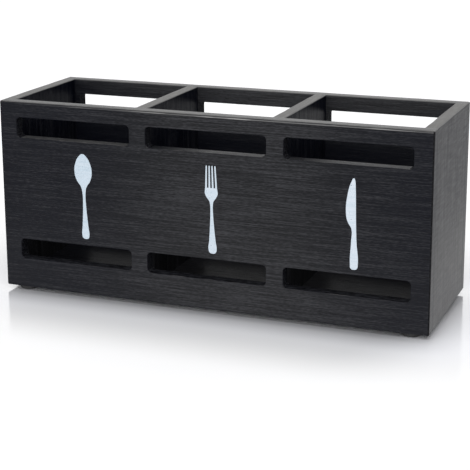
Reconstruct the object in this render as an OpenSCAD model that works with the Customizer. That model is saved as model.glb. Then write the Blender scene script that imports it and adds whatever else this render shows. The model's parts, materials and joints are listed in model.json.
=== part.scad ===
// Open-topped wooden cutlery holder with three compartments, in millimetres.
// X runs along the front from left to right, Y from the front to the back, Z up.
// The origin lies on the resting plane, under the middle of the box.

/* [Box] */
// Length of the front and back panels
box_w = 320; // [260:1:420]
// Depth over the front and back panels
box_d = 109; // [90:1:160]
// Height of the walls, without the feet
wall_h = 139.5; // [110:0.5:200]

/* [Boards] */
// Thickness of the front and back panels
panel_t = 9; // [6:0.5:14]
// Thickness of the end panels
end_t = 9; // [6:0.5:12]
// Thickness of the dividers
divider_t = 9; // [5:0.5:12]
// Thickness of the base board
base_t = 9; // [5:0.5:12]
// Radius of the eased arrises
arris_r = 1; // [0.3:0.1:2]

/* [Slots] */
// Height of every slot
slot_h = 15; // [8:0.5:22]
// Corner radius of every slot, left by the cutter
slot_r = 3; // [1:0.25:3.75]
// Wood between the end of a panel and its nearest slot
slot_margin = 13.25; // [10:0.25:30]
// Wood between two neighbouring slots
bridge_w = 12.5; // [8:0.25:30]
// Wood above the upper slots
top_band_h = 11.5; // [9:0.5:25]
// Wood below the lower slots
bottom_band_h = 22; // [18:0.5:32]

/* [Feet] */
// Diameter of a foot
foot_d = 15; // [8:0.5:24]
// Height of a foot
foot_h = 3; // [2:0.25:8]
// Radius of the rounded lower rim of a foot
foot_rim_r = 1.5; // [0.5:0.1:1.9]
// Distance from the outer face of an end panel to the edge of a foot
foot_end_inset = 6.5; // [1:0.5:20]
// Distance from the outer face of the front or back panel to the edge of a foot
foot_front_inset = 2; // [1:0.5:20]

/* [Pins] */
// Diameter of a headless pin
pin_d = 1.2; // [0.6:0.1:2]
// Length of a pin
pin_l = 25; // [16:1:34]
// Depth of a pin's head under the outer face
pin_set = 1; // [0.5:0.1:3]
// Gap between a pin and its hole, all round
pin_fit = 0.05; // [0.02:0.01:0.1]
// Pins in each upright joint
pins_per_joint = 3; // [2:1:6]
// Distance from the top edge, or from the base board, to the nearest pin
pin_edge = 6; // [4:0.5:9]
// Pins through each end panel into the base board
pins_per_end = 2; // [2:1:3]

/* [Hidden] */
$fn = 48;

// How far a cutting shape reaches past the face that it cuts
past = 1;
// The slots stand in columns, one to a compartment
columns = 3;

inner_w = box_w - 2 * end_t;
inner_d = box_d - 2 * panel_t;
slot_w = (box_w - 2 * slot_margin - (columns - 1) * bridge_w) / columns;
slot_pitch = slot_w + bridge_w;
slot_xs = [for (i = [0 : columns - 1]) (i - (columns - 1) / 2) * slot_pitch];
slot_zs = [bottom_band_h + slot_h / 2, wall_h - top_band_h - slot_h / 2];

// A divider stands behind the middle of each bridge between two slots
divider_x = slot_pitch / 2;
divider_in_x = divider_x - divider_t / 2;
divider_out_x = divider_x + divider_t / 2;
compartment_xs = [
    [-inner_w / 2, -divider_out_x],
    [-divider_in_x, divider_in_x],
    [divider_out_x, inner_w / 2]
];
end_x = (box_w - end_t) / 2;
foot_x = box_w / 2 - foot_end_inset - foot_d / 2;
foot_y = box_d / 2 - foot_front_inset - foot_d / 2;

pin_low_z = base_t + pin_edge;
pin_step_z = (wall_h - pin_edge - pin_low_z) / (pins_per_joint - 1);
pin_zs = [for (i = [0 : pins_per_joint - 1]) pin_low_z + i * pin_step_z];
end_pin_step = inner_d / pins_per_end;
end_pin_ys = [for (i = [0 : pins_per_end - 1]) (i + 0.5) * end_pin_step - inner_d / 2];

stain = [0.16, 0.16, 0.175];
inner_stain = [0.19, 0.19, 0.2];
rubber = [0.05, 0.05, 0.05];
steel = [0.7, 0.7, 0.72];

// What sanding takes off a corner at the origin, where the wood lies in +X and +Y
module arris_waste() {
    difference() {
        translate([-past, -past])
            square(past + arris_r);
        translate([arris_r, arris_r])
            circle(arris_r);
    }
}

// Rectangle of w by h from the origin, eased at the corners listed as [right, top] with 0 or 1
module eased_rectangle(w, h, corners) {
    difference() {
        square([w, h]);
        for (c = corners)
            translate([c[0] * w, c[1] * h])
                mirror([c[0], 0])
                    mirror([0, c[1]])
                        arris_waste();
    }
}

// Outline of one slot, centred on the origin
module slot_outline() {
    square([slot_w - 2 * slot_r, slot_h], center = true);
    square([slot_w, slot_h - 2 * slot_r], center = true);
    for (x = [-1, 1], z = [-1, 1])
        translate([x * (slot_w / 2 - slot_r), z * (slot_h / 2 - slot_r)])
            circle(slot_r);
}

// Cutters for the two rows of slots in a panel at the front
module slot_cutters() {
    for (x = slot_xs, z = slot_zs)
        translate([x, panel_t - box_d / 2 + past, z])
            rotate([90, 0, 0])
                linear_extrude(panel_t + 2 * past)
                    slot_outline();
}

// A pin that is driven in at the front, or its hole where gap is the fit
module front_pin(x, z, gap = 0) {
    translate([x, pin_set - box_d / 2, z])
        rotate([-90, 0, 0])
            cylinder(h = pin_l, d = pin_d + 2 * gap);
}

// A pin that is driven in at the right end, or its hole where gap is the fit
module end_pin(y, gap = 0) {
    translate([box_w / 2 - pin_set, y, base_t / 2])
        rotate([0, -90, 0])
            cylinder(h = pin_l, d = pin_d + 2 * gap);
}

// The upright row of pins in the front joint of the board whose middle is at x
module upright_pins(x, gap = 0) {
    for (z = pin_zs)
        front_pin(x, z, gap);
}

// The pins through the front panel into the base board, one to a compartment
module base_panel_pins(gap = 0) {
    for (x = slot_xs)
        front_pin(x, base_t / 2, gap);
}

// The pins through the right end panel into the base board
module base_end_pins(gap = 0) {
    for (y = end_pin_ys)
        end_pin(y, gap);
}

// Draws the front half's holes or pins again for the back
module front_and_back() {
    children();
    mirror([0, 1, 0])
        children();
}

// Draws the right half's holes or pins again for the left
module right_and_left() {
    children();
    mirror([1, 0, 0])
        children();
}

// Stands a piece on the feet
module on_feet() {
    translate([0, 0, foot_h])
        children();
}

// Cutters for the inner top arris of a panel at the front, which is eased over each compartment only
module inner_arris_cutters() {
    for (s = compartment_xs)
        translate([s[0], panel_t - box_d / 2, wall_h])
            rotate([90, 0, 90])
                linear_extrude(s[1] - s[0])
                    mirror([1, 0])
                        mirror([0, 1])
                            arris_waste();
}

// Full-width panel at the front, with every arris of its outer face eased
module slotted_panel() {
    difference() {
        intersection() {
            translate([-box_w / 2, -box_d / 2, 0])
                rotate([90, 0, 90])
                    linear_extrude(box_w)
                        eased_rectangle(panel_t, wall_h, [[0, 0], [0, 1]]);
            translate([-box_w / 2, -box_d / 2, 0])
                linear_extrude(wall_h)
                    eased_rectangle(box_w, panel_t, [[0, 0], [1, 0]]);
            translate([-box_w / 2, panel_t - box_d / 2, 0])
                rotate([90, 0, 0])
                    linear_extrude(panel_t)
                        eased_rectangle(box_w, wall_h, [[0, 0], [1, 0], [0, 1], [1, 1]]);
        }
        inner_arris_cutters();
        slot_cutters();
        right_and_left() {
            upright_pins(end_x, pin_fit);
            upright_pins(divider_x, pin_fit);
        }
        base_panel_pins(pin_fit);
    }
}

// End panel at the right, held between the front and back panels
module end_panel() {
    difference() {
        translate([box_w / 2 - end_t, inner_d / 2, 0])
            rotate([90, 0, 0])
                linear_extrude(inner_d)
                    eased_rectangle(end_t, wall_h, [[1, 0], [0, 1], [1, 1]]);
        front_and_back()
            upright_pins(end_x, pin_fit);
        base_end_pins(pin_fit);
    }
}

// Divider at the right, which stands on the base board
module divider() {
    difference() {
        translate([divider_in_x, inner_d / 2, base_t])
            rotate([90, 0, 0])
                linear_extrude(inner_d)
                    eased_rectangle(divider_t, wall_h - base_t, [[0, 1], [1, 1]]);
        front_and_back()
            upright_pins(divider_x, pin_fit);
    }
}

// Foot at the back right, with a rounded lower rim
module foot() {
    translate([foot_x, foot_y, 0])
        rotate_extrude() {
            square([foot_d / 2 - foot_rim_r, foot_h]);
            translate([0, foot_rim_r])
                square([foot_d / 2, foot_h - foot_rim_r]);
            translate([foot_d / 2 - foot_rim_r, foot_rim_r])
                circle(foot_rim_r);
        }
}

module front_panel() {
    color(stain)
        on_feet()
            slotted_panel();
}

module back_panel() {
    color(stain)
        on_feet()
            mirror([0, 1, 0])
                slotted_panel();
}

module left_end_panel() {
    color(stain)
        on_feet()
            mirror([1, 0, 0])
                end_panel();
}

module right_end_panel() {
    color(stain)
        on_feet()
            end_panel();
}

module left_divider() {
    color(inner_stain)
        on_feet()
            mirror([1, 0, 0])
                divider();
}

module right_divider() {
    color(inner_stain)
        on_feet()
            divider();
}

module base_board() {
    color(inner_stain)
        on_feet()
            difference() {
                translate([-inner_w / 2, -inner_d / 2, 0])
                    cube([inner_w, inner_d, base_t]);
                front_and_back()
                    base_panel_pins(pin_fit);
                right_and_left()
                    base_end_pins(pin_fit);
            }
}

module front_left_foot() {
    color(rubber)
        mirror([1, 0, 0])
            mirror([0, 1, 0])
                foot();
}

module front_right_foot() {
    color(rubber)
        mirror([0, 1, 0])
            foot();
}

module back_left_foot() {
    color(rubber)
        mirror([1, 0, 0])
            foot();
}

module back_right_foot() {
    color(rubber)
        foot();
}

module front_left_corner_pins() {
    color(steel)
        on_feet()
            upright_pins(-end_x);
}

module front_right_corner_pins() {
    color(steel)
        on_feet()
            upright_pins(end_x);
}

module back_left_corner_pins() {
    color(steel)
        on_feet()
            mirror([0, 1, 0])
                upright_pins(-end_x);
}

module back_right_corner_pins() {
    color(steel)
        on_feet()
            mirror([0, 1, 0])
                upright_pins(end_x);
}

module left_divider_pins() {
    color(steel)
        on_feet()
            front_and_back()
                upright_pins(-divider_x);
}

module right_divider_pins() {
    color(steel)
        on_feet()
            front_and_back()
                upright_pins(divider_x);
}

module base_front_pins() {
    color(steel)
        on_feet()
            base_panel_pins();
}

module base_back_pins() {
    color(steel)
        on_feet()
            mirror([0, 1, 0])
                base_panel_pins();
}

module base_left_pins() {
    color(steel)
        on_feet()
            mirror([1, 0, 0])
                base_end_pins();
}

module base_right_pins() {
    color(steel)
        on_feet()
            base_end_pins();
}

front_panel();
back_panel();
left_end_panel();
right_end_panel();
left_divider();
right_divider();
base_board();
front_left_foot();
front_right_foot();
back_left_foot();
back_right_foot();
front_left_corner_pins();
front_right_corner_pins();
back_left_corner_pins();
back_right_corner_pins();
left_divider_pins();
right_divider_pins();
base_front_pins();
base_back_pins();
base_left_pins();
base_right_pins();
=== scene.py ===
import json
import math

import bmesh
import bpy
from mathutils import Euler, Matrix, Vector, noise


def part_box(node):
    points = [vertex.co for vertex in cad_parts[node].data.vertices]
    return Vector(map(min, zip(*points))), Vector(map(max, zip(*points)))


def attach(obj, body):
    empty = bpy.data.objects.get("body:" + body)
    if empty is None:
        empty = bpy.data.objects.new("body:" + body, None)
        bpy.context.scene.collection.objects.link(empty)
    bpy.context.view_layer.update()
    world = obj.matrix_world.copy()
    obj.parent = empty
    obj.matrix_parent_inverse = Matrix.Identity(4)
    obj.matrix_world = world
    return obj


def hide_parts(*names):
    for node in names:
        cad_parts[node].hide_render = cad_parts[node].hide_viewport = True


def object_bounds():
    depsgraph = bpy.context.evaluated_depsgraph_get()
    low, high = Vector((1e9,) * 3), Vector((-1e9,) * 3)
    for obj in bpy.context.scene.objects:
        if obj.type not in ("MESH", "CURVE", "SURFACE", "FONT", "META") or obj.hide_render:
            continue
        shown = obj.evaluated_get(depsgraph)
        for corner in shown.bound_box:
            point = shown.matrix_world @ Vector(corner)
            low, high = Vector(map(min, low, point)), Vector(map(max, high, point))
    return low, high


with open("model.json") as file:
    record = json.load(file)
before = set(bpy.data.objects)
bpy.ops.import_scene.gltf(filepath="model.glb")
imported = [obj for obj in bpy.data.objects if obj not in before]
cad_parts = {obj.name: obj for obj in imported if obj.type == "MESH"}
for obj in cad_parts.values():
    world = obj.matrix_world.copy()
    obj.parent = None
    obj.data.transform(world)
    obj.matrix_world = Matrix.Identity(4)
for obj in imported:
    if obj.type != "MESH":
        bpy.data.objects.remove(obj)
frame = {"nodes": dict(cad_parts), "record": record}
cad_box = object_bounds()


# Base board: the floor of the box, let in flush between the four walls and pinned through them.
# A sawn softwood board, brushed to open its grain and stained black, with the grain along the box.
mm = 0.001
nearly = 0.001 * mm
square_on = 0.9
arris_radius = 1.0 * mm
joint_radius = 0.25 * mm
box_top = cad_box[1].z


class Wire:
    """A wire from a node's socket. Arithmetic on it adds Math nodes, and node() adds any other node."""

    def __init__(self, tree, socket=None):
        self.tree = tree
        self.socket = socket

    def node(self, kind, settings=None, sockets=None, output=0):
        """Adds a node with its settings, then the values or wires of its sockets, and gives one output.
        A list holds several wires for one socket."""
        added = self.tree.nodes.new(kind)
        for name, value in (settings or {}).items():
            setattr(added, name, value)
        for name, value in (sockets or {}).items():
            for one in value if isinstance(value, list) else [value]:
                if isinstance(one, Wire):
                    self.tree.links.new(one.socket, added.inputs[name])
                else:
                    added.inputs[name].default_value = one
        return Wire(self.tree, added.outputs[output])

    def math(self, operation, *values):
        return self.node("ShaderNodeMath", {"operation": operation}, dict(enumerate(values)))

    def __add__(self, other):
        return self.math("ADD", self, other)

    def __radd__(self, other):
        return self.math("ADD", other, self)

    def __sub__(self, other):
        return self.math("SUBTRACT", self, other)

    def __rsub__(self, other):
        return self.math("SUBTRACT", other, self)

    def __mul__(self, other):
        return self.math("MULTIPLY", self, other)

    def __rmul__(self, other):
        return self.math("MULTIPLY", other, self)

    def __abs__(self):
        return self.math("ABSOLUTE", self)

    def between(self, low, high):
        """0 below low, 1 above high, and a smooth step from one to the other."""
        return self.node(
            "ShaderNodeMapRange",
            {"interpolation_type": "SMOOTHSTEP"},
            {"Value": self, "From Min": low, "From Max": high},
        )

    def blend(self, first, second):
        """The first colour where this wire is 0, and the second where it is 1."""
        return self.node("ShaderNodeMix", {"data_type": "RGBA"}, {0: self, 6: first, 7: second}, 2)

    def part(self, axis):
        """How far the place or direction that this wire gives goes along one axis."""
        return self.node("ShaderNodeSeparateXYZ", sockets={0: self}, output=axis)

    def streaks(self, along, length, width, detail):
        """Noise drawn out along one axis of the place that this wire gives, into streaks of that size."""
        stretch = [1 / width] * 3
        stretch[along] = 1 / length
        drawn = self.node("ShaderNodeVectorMath", {"operation": "MULTIPLY"}, {0: self, 1: tuple(stretch)})
        sizes = {"Vector": drawn, "Scale": 1, "Detail": detail, "Roughness": 0.55}
        return self.node("ShaderNodeTexNoise", sockets=sizes)

    def relief(self, strength, depth):
        """A surface that stands out by that depth where this wire is 1."""
        sizes = {"Strength": strength, "Distance": depth, "Height": self}
        return self.node("ShaderNodeBump", sockets=sizes)


def new_finish(name):
    """A fresh material: its shader, and a wire to the place on the piece."""
    finish = bpy.data.materials.new(name)
    finish.use_nodes = True
    tree = finish.node_tree
    return finish, tree.nodes["Principled BSDF"], Wire(tree).node("ShaderNodeTexCoord", output="Object")


def lay_on(shader, colour, roughness, relief):
    """Joins the colour, roughness and relief of a finish to its shader."""
    for socket, wire in (("Base Color", colour), ("Roughness", roughness), ("Normal", relief)):
        wire.tree.links.new(wire.socket, shader.inputs[socket])


def stained_wood(
    name, along, sheen, matt, light_spot, end_grain, depth_shade=0, figure=0.1, foot_light=0, wear_and_light=0, brushed=0.5, saw_marks=0
):
    """Brushed softwood under a black stain, with its grain along one axis. Sheen is the index of its wax,
    and matt is how rough it is. The light spot is a spot along the grain, with the two distances from it
    between which the colour darkens: painted light, brightest at the spot. The depth shade is how much
    painted shade darkens it down in the box, figure is how strong its bands are, the foot light is how much
    painted light lifts it towards the foot, wear and light is how strong the painted highlight just under
    its top arris is, brushed is how deep its grain is, and saw_marks is how much the saw's lines from front
    to back break up its shine."""
    black = (0.001, 0.0016, 0.0048, 1)
    charcoal = (0.0072, 0.0075, 0.009, 1)
    grey = (0.036, 0.0365, 0.041, 1)
    pore_black = (0.0006, 0.0006, 0.0009, 1)
    bare = (0.1, 0.096, 0.094, 1)
    paler_grey = (0.18, 0.178, 0.175, 1)
    pale = (0.28, 0.277, 0.272, 1)
    daylight = (100 * mm, 122 * mm)
    foot_light_line = 100 * mm
    rub_line = (130 * mm, 138 * mm)
    brow_top = (0.8 * mm, 1.05 * mm)
    brow_foot = (1.5 * mm, 1.8 * mm)
    brow_wander = 0.4 * mm
    highlight_rise = (-170 * mm, 40 * mm)
    highlight_fall = (100 * mm, 158 * mm)
    grain_depth = 0.2 * mm
    finish, shader, place = new_finish(name)
    fibre = place.streaks(along, length=34 * mm, width=0.6 * mm, detail=2)
    short_fibre = place.streaks(along, length=3.2 * mm, width=0.5 * mm, detail=2)
    band = place.streaks(along, length=180 * mm, width=5 * mm, detail=2)
    pore = place.streaks(along, length=9 * mm, width=0.45 * mm, detail=1).between(0.6, 0.7)
    blotch = place.streaks(along, length=70 * mm, width=40 * mm, detail=3)

    # The stain with its pores, painted light that darkens away from a spot, painted shade down in the box and
    # painted light at the foot
    reach = place.part(along)
    height = place.part(2)
    spot, near, far = light_spot
    # Painted light: brightest at the spot along the grain and darker away from it
    painted_falloff = abs(reach - spot).between(near, far)
    tone = 0.7 * fibre + 0.6 * short_fibre + 0.2 * blotch - 0.225 - 0.06 * painted_falloff + figure * (band - 0.5)
    stain = painted_falloff.blend(charcoal, black)
    colour = tone.between(0.39, 0.77).blend(stain, grey)
    colour = (0.8 * pore).blend(colour, pore_black)
    # The same painted light, falling off further from the spot
    colour = (0.35 * painted_falloff).blend(colour, black)
    # Painted shade, darker down in the box
    colour = (depth_shade - depth_shade * height.between(*daylight)).blend(colour, black)
    # Painted light, lighter towards the foot
    colour = (foot_light - foot_light * height.between(0, foot_light_line)).blend(colour, paler_grey)

    # The cut ends, darker arrises, the arrises and top edges that hands rub, and a painted highlight under
    # the top arris
    normal = place.node("ShaderNodeTexCoord", output="Normal")
    cut_end = abs(normal.part(along)).between(0.6, 0.9)
    colour = (cut_end * (0.4 + 0.8 * short_fibre)).blend(colour, end_grain)
    arris = place.node("ShaderNodeAttribute", {"attribute_name": "arris"}, output="Fac")
    torn = place.streaks(along, length=12 * mm, width=0.4 * mm, detail=2).between(0.42, 0.6)
    rub = place.streaks(along, length=25 * mm, width=2.5 * mm, detail=3).between(0.42, 0.6)
    top = normal.part(2).between(0.35, 0.7)
    # Arrises painted darker: partly stain pooled in them, partly painted shade of the rounded edge
    colour = (0.6 * arris).blend(colour, black)
    colour = (0.7 * arris * rub * torn * top).blend(colour, bare)
    # A painted highlight on the brow just under the top arris, rising and then falling along the board
    under = box_top - height - brow_wander * (blotch - 0.5)
    brow = under.between(*brow_top) - under.between(*brow_foot)
    highlight_reach = reach.between(*highlight_rise) - 0.6 * reach.between(*highlight_fall)
    colour = (wear_and_light * brow * highlight_reach * (0.4 + 0.6 * rub)).blend(colour, pale)
    rubbed = top * height.between(*rub_line) * (1 - 0.3 * wear_and_light * (1 - highlight_reach))
    colour = (rubbed * (0.3 + 0.6 * short_fibre)).blend(colour, paler_grey)

    # The brushed grain on an uneven face, and the shine that the saw's lines break up
    uneven = place.streaks(along, length=40 * mm, width=5 * mm, detail=2)
    grain = 0.7 * fibre + 0.3 * short_fibre - 0.3 * pore + 4 * uneven
    saw_line = place.streaks(along=1, length=16 * mm, width=1.6 * mm, detail=2)
    roughness = matt + 0.1 * short_fibre + 0.1 * blotch + saw_marks * (saw_line - 0.5)
    lay_on(shader, colour, roughness, grain.relief(brushed, grain_depth))
    shader.inputs["IOR"].default_value = sheen
    return finish


def arris_edges(shape, low, high, facing):
    """The edges along one arris of the box between two corners, named by the way that the arris faces."""
    corner = [high[k] if facing[k] > 0 else low[k] for k in range(3)]
    axes = [k for k in range(3) if facing[k]]
    return [
        edge
        for edge in shape.edges
        if all(abs(v.co[k] - corner[k]) < nearly for v in edge.verts for k in axes)
    ]


def ease(shape, edges, radius):
    """Sands edges round, and marks the new faces, which wear first."""
    segments = 4
    wear_and_light = shape.faces.layers.float["arris"]
    sanded = bmesh.ops.bevel(
        shape, geom=edges, offset=radius, offset_type="OFFSET", segments=segments, profile=0.5, affect="EDGES"
    )
    for face in sanded["faces"]:
        face[wear_and_light] = 1


def cut_across(shape, point, across):
    """Cuts all the faces of a shape along a plane."""
    geometry = shape.verts[:] + shape.edges[:] + shape.faces[:]
    bmesh.ops.bisect_plane(shape, geom=geometry, plane_co=point, plane_no=across)


def hand_sand(shape, low, high, along, arrises):
    """Cuts a board across at short steps, and lets its eased arrises wander as sanding by hand does."""
    step = 6 * mm
    wave = 14 * mm
    apart = 40 * mm
    depth = 0.45
    cuts = int((high[along] - low[along]) / step)
    across = Vector((0, 0, 0))
    across[along] = 1
    for i in range(1, cuts):
        cut_across(shape, Vector(low).lerp(high, i / cuts), across)
    for facing, radius in arrises.items():
        if facing[along]:
            continue
        corner = Vector([high[k] if facing[k] > 0 else low[k] for k in range(3)])
        clear = 3 * radius
        rounded = 1.01 * radius
        for vert in shape.verts:
            away = vert.co - corner
            away[along] = 0
            inside = low[along] + clear < vert.co[along] < high[along] - clear
            if inside and max(abs(a) for a in away) < rounded:
                spot = corner / apart
                spot[along] = vert.co[along] / wave
                vert.co += away * depth * noise.noise(spot)


def fit_board(node, shape, finishes):
    """Makes a board's object from its shape, with smooth arrises and flat faces, in the place of a node."""
    sharp = math.radians(50)
    name = node + "_wood"
    mesh = bpy.data.meshes.new(name)
    shape.to_mesh(mesh)
    shape.free()
    mesh.polygons.foreach_set("use_smooth", [True] * len(mesh.polygons))
    mesh.set_sharp_from_angle(angle=sharp)
    for finish in finishes:
        mesh.materials.append(finish)
    piece = bpy.data.objects.new(name, mesh)
    bpy.context.collection.objects.link(piece)
    flat = piece.modifiers.new("flat_faces", "WEIGHTED_NORMAL")
    flat.keep_sharp = True
    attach(piece, "root")
    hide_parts(node)


def board(node, along, arrises, finishes, inner=()):
    """A board that takes the place of a node, with its arrises eased and sanded along one axis. The faces
    that look the way of an inner one get the second finish."""
    low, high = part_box(node)
    shape = bmesh.new()
    shape.faces.layers.float.new("arris")
    fill = Matrix.Translation((low + high) / 2) @ Matrix.Diagonal((*(high - low), 1))
    bmesh.ops.create_cube(shape, size=1, matrix=fill)
    for radius in sorted(set(arrises.values()), reverse=True):
        edges = [e for f, r in arrises.items() if r == radius for e in arris_edges(shape, low, high, f)]
        ease(shape, edges, radius)
    hand_sand(shape, low, high, along, arrises)
    shape.normal_update()
    for face in shape.faces:
        face.material_index = int(any(face.normal.dot(way) > square_on for way in inner))
    fit_board(node, shape, finishes)


dark_cut = (0.004, 0.004, 0.005, 1)
long_light_spot = (20 * mm, 25 * mm, 145 * mm)
sawn_wood = stained_wood(
    "stained_wood_sawn", along=0, sheen=1.12, matt=0.25, light_spot=long_light_spot, end_grain=dark_cut, foot_light=0.03
)
under_joints = dict.fromkeys([(1, 0, -1), (-1, 0, -1), (0, 1, -1), (0, -1, -1)], joint_radius)
board("base_board", along=0, arrises=under_joints, finishes=[sawn_wood])


# End panels: boards that stand between the front and back panels, glued and pinned at the corners.
# The same stained softwood with its grain upright, so that the top edge is end grain.
sanded_cut = (0.06, 0.056, 0.048, 1)
upright_light_spot = (0, 20 * mm, 140 * mm)
upright_wood = stained_wood(
    "stained_wood_upright",
    along=2,
    sheen=1.172,
    matt=0.3,
    light_spot=upright_light_spot,
    end_grain=sanded_cut,
    figure=0.4,
    foot_light=0.36,
    brushed=0.25,
    saw_marks=0.22,
)
upright_inside = stained_wood(
    "stained_wood_inside",
    along=2,
    sheen=1.085,
    matt=0.25,
    light_spot=upright_light_spot,
    end_grain=sanded_cut,
    figure=0.3,
)
upright_finishes = [upright_wood, upright_inside]
for side, out in (("left", -1), ("right", 1)):
    arrises = {(1, 0, 1): arris_radius, (-1, 0, 1): arris_radius, (out, 0, -1): arris_radius}
    arrises |= {(out, 1, 0): joint_radius, (out, -1, 0): joint_radius}
    board(side + "_end_panel", along=1, arrises=arrises, finishes=upright_finishes, inner=[(-out, 0, 0)])


# Dividers: two boards that part the box into three, set on the base board and pinned through the panels.
# Stained softwood with upright grain, eased along the top where hands and cutlery pass.
both_faces = [(1, 0, 0), (-1, 0, 0)]
for side in ("left", "right"):
    arrises = {(1, 0, 1): arris_radius, (-1, 0, 1): arris_radius}
    board(side + "_divider", along=1, arrises=arrises, finishes=upright_finishes, inner=both_faces)


# Front and back panels: full-width boards with two rows of three routed slots, over the ends of the rest.
# Stained softwood with its grain along the box. Rims and outer arrises are eased by hand after routing.
paint_film = 0.08 * mm
slot_columns = 3
slot_rows = 2
slot_corner = 3 * mm
slot_corner_steps = 6
slot_clearance = 1 * mm
rim_radius = 0.35 * mm
inner_rim_radius = 0.25 * mm
weld = 0.01 * mm
edge_on = 0.1
quarter_turn = math.radians(90)
half_turn = math.radians(180)
openings = {o["name"]: o["box_m"] for o in frame["record"]["physics"]["openings"]}
upper_low, upper_high = [Vector(corner) for corner in openings["front_upper_left_slot"]]
lower_low, lower_high = [Vector(corner) for corner in openings["front_lower_right_slot"]]
slot_size = upper_high - upper_low + 2 * Vector([slot_clearance] * 3)
slot_reach = (lower_low + lower_high - upper_low - upper_high) / 2
slot_middle = (lower_low + lower_high + upper_low + upper_high) / 4
left_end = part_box("left_end_panel")[1].x
left_divider = [corner.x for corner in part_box("left_divider")]
right_divider = [corner.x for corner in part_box("right_divider")]
right_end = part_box("right_end_panel")[0].x
open_tops = [(left_end, left_divider[0]), (left_divider[1], right_divider[0]), (right_divider[1], right_end)]

long_wood = stained_wood(
    "stained_wood_long",
    along=0,
    sheen=1.245,
    matt=0.25,
    light_spot=long_light_spot,
    end_grain=dark_cut,
    foot_light=0.022,
    wear_and_light=0.95,
)
inside_light_spot = (10 * mm, 40 * mm, 200 * mm)
long_inside = stained_wood(
    "stained_wood_long_inside",
    along=0,
    sheen=1.5,
    matt=0.28,
    light_spot=inside_light_spot,
    end_grain=dark_cut,
    depth_shade=0.95,
)


def cut_wood(name, black, dull, shaded=0):
    """Wood cut across its fibres by the router or the saw, so that it drinks the stain and stays matt.
    Shaded is how much painted shade darkens it near the top of the box."""
    sheen = 1.04
    shade_line = (60 * mm, 100 * mm)
    cut_depth = 0.1 * mm
    finish, shader, place = new_finish(name)
    fibre = place.streaks(along=0, length=5 * mm, width=0.7 * mm, detail=2)
    colour = fibre.between(0.4, 0.7).blend(black, dull)
    # Painted shade, darker near the top of the box
    colour = (shaded * place.part(2).between(*shade_line)).blend(colour, black)
    lay_on(shader, colour, 0.4 + 0.2 * fibre, fibre.relief(0.3, cut_depth))
    shader.inputs["IOR"].default_value = sheen
    return finish


slot_wood = cut_wood("slot_wood", black=(0.002, 0.002, 0.003, 1), dull=(0.027, 0.028, 0.033, 1), shaded=0.1)
# Painted light: the pale sill of one upper slot
painted_light_sill = cut_wood("painted_light_sill", black=(0.03, 0.03, 0.031, 1), dull=(0.07, 0.07, 0.071, 1))
edge_wood = cut_wood("edge_wood", black=(0.008, 0.008, 0.009, 1), dull=(0.02, 0.02, 0.022, 1))
panel_finishes = {
    "face": long_wood,
    "inside": long_inside,
    "slot": slot_wood,
    "sill": painted_light_sill,
    "end": upright_wood,
    "corner": edge_wood,
}


def panel_tree():
    """A panel lying on its inner face: its outline less a grid of slots, filled and raised."""
    tree = bpy.data.node_groups.new("slotted_panel", "GeometryNodeTree")
    outline_sizes = ("Length", "Height", "Thickness", "Slot length", "Slot height", "Slot corner")
    grid_sizes = ("Column reach", "Row reach", "Row lift")
    for size in outline_sizes + grid_sizes:
        tree.interface.new_socket(size, in_out="INPUT", socket_type="NodeSocketFloat")
    tree.interface.new_socket("Finish", in_out="INPUT", socket_type="NodeSocketMaterial")
    tree.interface.new_socket("Panel", in_out="OUTPUT", socket_type="NodeSocketGeometry")
    inputs = tree.nodes.new("NodeGroupInput").outputs
    size = {socket.name: Wire(tree, socket) for socket in inputs if socket.name}
    bench = Wire(tree)
    outline = bench.node(
        "GeometryNodeCurvePrimitiveQuadrilateral",
        sockets={"Width": size["Length"], "Height": size["Height"]},
    )
    slot = bench.node(
        "GeometryNodeCurvePrimitiveQuadrilateral",
        sockets={"Width": size["Slot length"], "Height": size["Slot height"]},
    )
    slot = bench.node(
        "GeometryNodeFilletCurve",
        {"mode": "POLY"},
        {"Curve": slot, "Count": slot_corner_steps, "Radius": size["Slot corner"]},
    )
    grid = bench.node(
        "GeometryNodeMeshGrid",
        sockets={
            "Size X": size["Column reach"],
            "Size Y": size["Row reach"],
            "Vertices X": slot_columns,
            "Vertices Y": slot_rows,
        },
    )
    lift = bench.node("ShaderNodeCombineXYZ", sockets={"Y": size["Row lift"]})
    grid = bench.node("GeometryNodeTransform", sockets={"Geometry": grid, "Translation": lift})
    slots = bench.node("GeometryNodeInstanceOnPoints", sockets={"Points": grid, "Instance": slot})
    slots = bench.node("GeometryNodeRealizeInstances", sockets={"Geometry": slots})
    lines = bench.node("GeometryNodeJoinGeometry", sockets={"Geometry": [outline, slots]})
    face = bench.node("GeometryNodeFillCurve", {"mode": "NGONS"}, {"Curve": lines})
    raised = bench.node(
        "GeometryNodeExtrudeMesh",
        {"mode": "FACES"},
        {"Mesh": face, "Offset Scale": size["Thickness"], "Individual": False},
    )
    under = bench.node("GeometryNodeFlipFaces", sockets={"Mesh": face})
    whole = bench.node("GeometryNodeJoinGeometry", sockets={"Geometry": [raised, under]})
    whole = bench.node("GeometryNodeMergeByDistance", sockets={"Geometry": whole, "Distance": weld})
    whole = bench.node("GeometryNodeRealizeInstances", sockets={"Geometry": whole})
    whole = bench.node("GeometryNodeSetMaterial", sockets={"Geometry": whole, "Material": size["Finish"]})
    tree.links.new(whole.socket, tree.nodes.new("NodeGroupOutput").inputs["Panel"])
    return tree


panel_rule = panel_tree()


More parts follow.
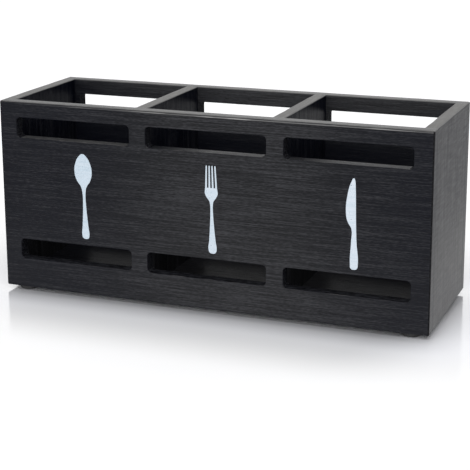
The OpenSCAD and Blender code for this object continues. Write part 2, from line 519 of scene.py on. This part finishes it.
def panel_blank(sizes):
    """The rule's panel at those sizes, as a plain mesh."""
    blank = bpy.data.objects.new("panel_blank", bpy.data.meshes.new("panel_blank"))
    bpy.context.collection.objects.link(blank)
    cut = blank.modifiers.new("slots", "NODES")
    cut.node_group = panel_rule
    for item in panel_rule.interface.items_tree:
        if item.in_out == "INPUT":
            cut[item.identifier] = sizes[item.name]
    graph = bpy.context.evaluated_depsgraph_get()
    mesh = bpy.data.meshes.new_from_object(blank.evaluated_get(graph))
    blank.modifiers.remove(cut)
    bpy.data.objects.remove(blank)
    return mesh


def slotted_panel(node, out, film):
    """A panel that takes the place of a node. It faces along Y by out, and has room for a film of paint."""
    low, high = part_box(node)
    outer, inner = (low, high) if out < 0 else (high, low)
    outer.y -= out * film
    sizes = {
        "Length": high.x - low.x,
        "Height": high.z - low.z,
        "Thickness": high.y - low.y,
        "Slot length": slot_size.x,
        "Slot height": slot_size.z,
        "Slot corner": slot_corner,
        "Column reach": slot_reach.x,
        "Row reach": -slot_reach.z,
        "Row lift": slot_middle.z - (low.z + high.z) / 2,
        "Finish": long_wood,
    }
    stand = Euler((quarter_turn, 0, 0 if out < 0 else half_turn)).to_matrix().to_4x4()
    place = Matrix.Translation((0, inner.y, (low.z + high.z) / 2))
    mesh = panel_blank(sizes)
    mesh.transform(place @ stand)
    shape = bmesh.new()
    shape.from_mesh(mesh)
    shape.faces.layers.float.new("arris")
    for start, end in open_tops:
        cut_across(shape, (start, 0, 0), (1, 0, 0))
        cut_across(shape, (end, 0, 0), (1, 0, 0))

    def on_rim(edge):
        """Whether an edge lies between a wide face and the wall of a slot."""
        lean = [abs(face.normal.y) for face in edge.link_faces]
        inside = all(
            low[k] + slot_corner < vert.co[k] < high[k] - slot_corner for vert in edge.verts for k in (0, 2)
        )
        return inside and max(lean) > square_on and min(lean) < edge_on

    rims = [edge for edge in shape.edges if on_rim(edge)]
    for y, radius in ((outer.y, rim_radius), (inner.y, inner_rim_radius)):
        side = [edge for edge in rims if edge.is_valid and abs(edge.verts[0].co.y - y) < weld]
        ease(shape, side, radius)
    arrises = {(0, out, 1): arris_radius, (0, out, -1): arris_radius}
    for end in (-1, 1):
        arrises |= {(end, out, 0): arris_radius, (end, 0, 1): arris_radius, (end, 0, -1): arris_radius}
    edges = [e for facing in arrises for e in arris_edges(shape, low, high, facing)]
    for edge in arris_edges(shape, low, high, (0, -out, 1)):
        x = (edge.verts[0].co.x + edge.verts[1].co.x) / 2
        if any(start < x < end for start, end in open_tops):
            edges.append(edge)
    ease(shape, edges, arris_radius)
    joints = [(1, -out, 0), (-1, -out, 0), (0, -out, -1)]
    ease(shape, [e for facing in joints for e in arris_edges(shape, low, high, facing)], joint_radius)
    hand_sand(shape, low, high, along=0, arrises=arrises)

    def finish_of(face):
        """Which of the panel's finishes a face gets. In the upper row, the slot on the left of one who faces
        the panel has a sill painted pale as painted light, and the other sills are waxed like the face. In
        the lower row the floors and tops of the slots get the dark cut finish as painted shade."""
        end_lean = 0.95
        corner_lean = 0.15
        upright_lean = 0.3
        lean = abs(face.normal.x)
        middle = face.calc_center_median()
        if face.normal.y * out < -square_on:
            return "inside"
        if low.x + slot_corner < middle.x < high.x - slot_corner:
            in_slot = low.z + slot_corner < middle.z < high.z - slot_corner and abs(face.normal.y) < edge_on
            # Painted shade: in the lower row the floor and top walls of a slot get the dark cut finish too
            if in_slot and (lean > edge_on or middle.z < slot_middle.z):
                return "slot"
            return "sill" if in_slot and middle.x * out > right_divider[0] else "face"
        if lean > end_lean:
            return "end"
        return "corner" if lean > corner_lean and abs(face.normal.z) < upright_lean else "face"

    shape.normal_update()
    finish_order = list(panel_finishes)
    for face in shape.faces:
        face.material_index = finish_order.index(finish_of(face))
    fit_board(node, shape, panel_finishes.values())


slotted_panel("front_panel", out=-1, film=paint_film)
slotted_panel("back_panel", out=1, film=0)


# Pins: headless steel pins driven through the walls into the boards behind, then filled over and stained.
# Bright drawn wire, drawn along its length and cut square.
def drawn_steel():
    """Bright wire with the fine lines of the drawing die."""
    dull = (0.42, 0.42, 0.43, 1)
    bright = (0.66, 0.66, 0.68, 1)
    line_depth = 0.02 * mm
    finish, shader, place = new_finish("drawn_steel")
    line = place.streaks(along=1, length=6 * mm, width=0.12 * mm, detail=2)
    smear = place.streaks(along=1, length=4 * mm, width=2 * mm, detail=2)
    colour = (0.5 * line + 0.5 * smear).between(0.3, 0.7).blend(dull, bright)
    lay_on(shader, colour, 0.22 + 0.25 * smear, line.relief(0.2, line_depth))
    shader.inputs["Metallic"].default_value = 1
    return finish


def refinish(ending, finish):
    """Gives a finish to the nodes whose names end that way."""
    for name, node in frame["nodes"].items():
        if name.endswith(ending):
            node.material_slots[0].material = finish


refinish("_pins", drawn_steel())


# Feet: four low round pads under the corners of the box, stuck on so that it neither slides nor scratches.
# Moulded black rubber with a rounded rim, matt and a little dusty.
def moulded_rubber():
    """Matt black rubber with a fine moulded skin and some dust."""
    black = (0.008, 0.008, 0.0085, 1)
    paler_grey = (0.03, 0.03, 0.031, 1)
    skin_depth = 0.05 * mm
    finish, shader, place = new_finish("moulded_rubber")
    skin = place.streaks(along=0, length=0.35 * mm, width=0.35 * mm, detail=2)
    dust = place.streaks(along=0, length=4 * mm, width=4 * mm, detail=4)
    colour = (0.4 * skin + 0.6 * dust).between(0.42, 0.68).blend(black, paler_grey)
    lay_on(shader, colour, 0.5 + 0.3 * dust, skin.relief(0.3, skin_depth))
    return finish


refinish("_foot", moulded_rubber())


# Signs: a spoon, a fork and a knife on the front panel, one for each compartment.
# Pale matt paint laid on through a stencil, thin enough to follow the grain and flecked where it missed.
def stencil_paint():
    """Pale blue-grey paint with fine grain under it and dark flecks where it missed the wood."""
    pale = (0.575, 0.63, 0.694, 1)
    duller_paint = (0.415, 0.512, 0.588, 1)
    missed = (0.05, 0.06, 0.07, 1)
    duller_side = -120 * mm
    pale_side = 120 * mm
    paint_depth = 0.05 * mm
    finish, shader, place = new_finish("stencil_paint")
    fibre = place.streaks(along=0, length=14 * mm, width=0.8 * mm, detail=3)
    fleck = place.streaks(along=0, length=1.1 * mm, width=0.8 * mm, detail=2).between(0.68, 0.75)
    # Duller towards the left of the panel and paler towards the right
    tone = 0.125 + 0.35 * fibre.between(0.35, 0.6) + 0.4 * place.part(0).between(duller_side, pale_side)
    colour = tone.blend(duller_paint, pale)
    colour = fleck.blend(colour, missed)
    lay_on(shader, colour, 0.5 + 0.2 * fibre, fibre.relief(0.15, paint_depth))
    return finish


sign_paint = stencil_paint()
sign_smoothness = 8
sign_middle = 73
panel_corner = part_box("front_panel")[0]


def painted_sign(name, centre, lean, points):
    """A film of paint inside a closed outline. A point has its place from the sign's middle line, its height
    above the foot of the panel in millimetres, and whether the outline turns sharply there. Lean is how far
    out of plumb the stencil lay."""
    curve = bpy.data.curves.new(name, "CURVE")
    curve.dimensions = "2D"
    curve.fill_mode = "BOTH"
    curve.extrude = paint_film / 2
    curve.resolution_u = sign_smoothness
    spline = curve.splines.new("BEZIER")
    spline.use_cyclic_u = True
    spline.bezier_points.add(len(points) - 1)
    for bezier, (x, z, sharp) in zip(spline.bezier_points, points):
        bezier.co = ((x - lean * (z - sign_middle)) * mm, z * mm, 0)
        bezier.handle_left_type = bezier.handle_right_type = "VECTOR" if sharp else "AUTO"
    drawing = bpy.data.objects.new(name + "_outline", curve)
    bpy.context.collection.objects.link(drawing)
    graph = bpy.context.evaluated_depsgraph_get()
    mesh = bpy.data.meshes.new_from_object(drawing.evaluated_get(graph))
    bpy.data.objects.remove(drawing)
    stand = Euler((quarter_turn, 0, 0)).to_matrix().to_4x4()
    sideways = panel_corner.x + centre * mm
    place = Matrix.Translation((sideways, panel_corner.y + paint_film / 2, panel_corner.z))
    mesh.transform(place @ stand)
    shape = bmesh.new()
    shape.from_mesh(mesh)
    bmesh.ops.remove_doubles(shape, verts=shape.verts, dist=nearly)
    bmesh.ops.recalc_face_normals(shape, faces=shape.faces)
    mesh = bpy.data.meshes.new(name)
    shape.to_mesh(mesh)
    shape.free()
    mesh.materials.append(sign_paint)
    piece = bpy.data.objects.new(name, mesh)
    bpy.context.collection.objects.link(piece)
    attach(piece, "root")


def left_of(right_half):
    """The left half of an outline, from the top down, that mirrors a right half from the bottom up."""
    return [(-x, z, sharp) for x, z, sharp in reversed(right_half)]


spoon_half = [
    (2.2, 42.7, False),
    (2.85, 45, False),
    (2.3, 51.5, False),
    (1.25, 66, False),
    (1.25, 76.5, False),
    (2.2, 80.6, False),
    (5.4, 85.4, False),
    (6.85, 91.5, False),
    (5.9, 97.6, False),
    (3, 102.8, False),
]
spoon_foot = (0, 41.9, False)
spoon_tip = (0, 104.7, False)
spoon = [spoon_foot, *spoon_half, spoon_tip, *left_of(spoon_half)]
painted_sign("spoon_sign", centre=66.4, lean=0.016, points=spoon)

fork_half = [
    (2.2, 42, False),
    (3.05, 44.6, False),
    (2.45, 50, False),
    (1.7, 58.5, False),
    (1, 70, False),
    (1, 76, False),
    (1.6, 79, False),
    (3.6, 81.7, False),
    (4.75, 84.5, False),
    (4.6, 87, False),
]
fork_foot = (0, 41.3, False)
tine_steps = (1.5, 0.5, -0.5, -1.5)
tine_tip = 104.2
tine_root = 88.4
tine_round = 0.5
tip_pitch = 2.13
tip_width = 0.9
root_pitch = 2.5
root_width = 1.3
tines = []
for step in tine_steps:
    tip = step * tip_pitch
    root = step * root_pitch
    tines += [
        (root + root_width / 2, tine_root, True),
        (tip + tip_width / 2, tine_tip - tine_round, True),
        (tip, tine_tip, False),
        (tip - tip_width / 2, tine_tip - tine_round, True),
        (root - root_width / 2, tine_root, True),
    ]
fork = [fork_foot, *fork_half, *tines, *left_of(fork_half)]
painted_sign("fork_sign", centre=165, lean=0.016, points=fork)

knife = [
    (0.5, 40.8, False),
    (2.6, 41.6, False),
    (3.25, 44.5, False),
    (2.15, 60, False),
    (1.7, 70, False),
    (0.95, 98, False),
    (0.6, 102.3, False),
    (-0.25, 103.9, False),
    (-1.9, 101.6, False),
    (-4.6, 92, False),
    (-5.5, 80, False),
    (-4.3, 74, False),
    (-1.55, 69, False),
    (-1.65, 60, False),
    (-2.2, 44.5, False),
    (-1.7, 41.5, False),
]
painted_sign("knife_sign", centre=267, lean=0, points=knife)


# Studio: a white table, glossy close to the box, in a white tent with one broad soft lamp at the front right.
# The camera stands where the photograph was taken, a little to the right and above.
table_half = 12.0
tent_side = (1, 1, 1, 1)
tent_top = (0.55, 0.55, 0.56, 1)
tent_shade = (0.15, 0.9)
lamp_place = (0.4, -1.2, 1.6)
lamp_spread = 60
lamp_power = 1.8
camera_place = (0.3539, -0.9081, 0.325)
camera_turn = (76.219, 0.351, 21.535)
camera_lens = 105.77
camera_shift = (0.02, -0.1223)
camera_sensor = 36.0


def glossy_white():
    """White table top: matt, but painted a little cool and darker close round what stands on it as shade,
    and with a soft reflection there. There is no reflection right under it, and a duller one off the right
    end."""
    white = (0.97, 0.97, 0.975, 1)
    whiter = (0.98, 0.98, 0.98, 1)
    cool_shade = (0.94, 0.946, 0.982, 1)
    cool_shade_reach = 70 * mm
    cloud_size = 0.3
    matt_roughness = 0.8
    gloss_roughness = 0.12
    near_gloss = 0.3
    near_reach = 32 * mm
    wide_gloss = 0.3
    wide_start = 30 * mm
    wide_reach = 100 * mm
    contact_gloss = 0.12
    contact_reach = 10 * mm
    hidden_edge = 2.5 * mm
    hidden_depth = 7 * mm
    dull_slant = 0.35
    dull_share = 0.7
    dull_start = 140 * mm
    dull_reach = 215 * mm
    finish, shader, place = new_finish("glossy_white")
    sides = [place.part(axis) for axis in (0, 1)]
    past = [abs(side) - cad_box[1][axis] for axis, side in enumerate(sides)]
    away = [gap.math("MAXIMUM", gap, 0) for gap in past]
    far = place.math("SQRT", away[0] * away[0] + away[1] * away[1])
    cloud = place.streaks(along=0, length=cloud_size, width=cloud_size, detail=2)
    # Painted shade: cooler and darker close round the box
    colour = far.between(0, cool_shade_reach).blend(cool_shade, cloud.blend(white, whiter))
    finish.node_tree.links.new(colour.socket, shader.inputs["Base Color"])
    shader.inputs["Roughness"].default_value = matt_roughness
    shader.inputs["Specular IOR Level"].default_value = 0
    share = near_gloss - near_gloss * far.between(0, near_reach)
    share = share + wide_gloss - wide_gloss * far.between(wide_start, wide_reach)
    share = share + contact_gloss - contact_gloss * far.between(0, contact_reach)
    share = share * (1 - dull_share * (sides[0] - dull_slant * sides[1]).between(dull_start, dull_reach))
    edge = place.math("MAXIMUM", past[0], past[1])
    share = share * edge.between(-hidden_depth, -hidden_edge)
    gloss = place.node("ShaderNodeBsdfGlossy", sockets={"Color": white, "Roughness": gloss_roughness})
    matt = Wire(finish.node_tree, shader.outputs[0])
    mixed = place.node("ShaderNodeMixShader", sockets={0: share, 1: matt, 2: gloss})
    surface = finish.node_tree.nodes["Material Output"].inputs["Surface"]
    finish.node_tree.links.new(mixed.socket, surface)
    return finish


corners = [(x * table_half, y * table_half, 0) for x, y in ((-1, -1), (1, -1), (1, 1), (-1, 1))]
table_mesh = bpy.data.meshes.new("table")
table_mesh.from_pydata(corners, [], [(0, 1, 2, 3)])
table_mesh.materials.append(glossy_white())
table = bpy.data.objects.new("table", table_mesh)
bpy.context.collection.objects.link(table)

tent = bpy.data.worlds.new("tent")
tent.use_nodes = True
background = tent.node_tree.nodes["Background"]
way = Wire(tent.node_tree).node("ShaderNodeTexCoord", output="Generated")
light = way.part(2).between(*tent_shade).blend(tent_side, tent_top)
tent.node_tree.links.new(light.socket, background.inputs["Color"])
background.inputs["Strength"].default_value = 1
bpy.context.scene.world = tent

lamp_data = bpy.data.lights.new("front_lamp", "SUN")
lamp_data.angle = math.radians(lamp_spread)
lamp_data.energy = lamp_power
lamp = bpy.data.objects.new("front_lamp", lamp_data)
lamp.location = lamp_place
lamp.rotation_euler = (Vector() - Vector(lamp_place)).to_track_quat("-Z", "Y").to_euler()
bpy.context.collection.objects.link(lamp)

camera_data = bpy.data.cameras.new("camera")
camera_data.lens = camera_lens
camera_data.sensor_width = camera_sensor
camera_data.shift_x, camera_data.shift_y = camera_shift
camera = bpy.data.objects.new("camera", camera_data)
camera.location = camera_place
camera.rotation_euler = [math.radians(angle) for angle in camera_turn]
bpy.context.collection.objects.link(camera)
bpy.context.scene.camera = camera
bpy.context.scene.view_settings.view_transform = "Standard"
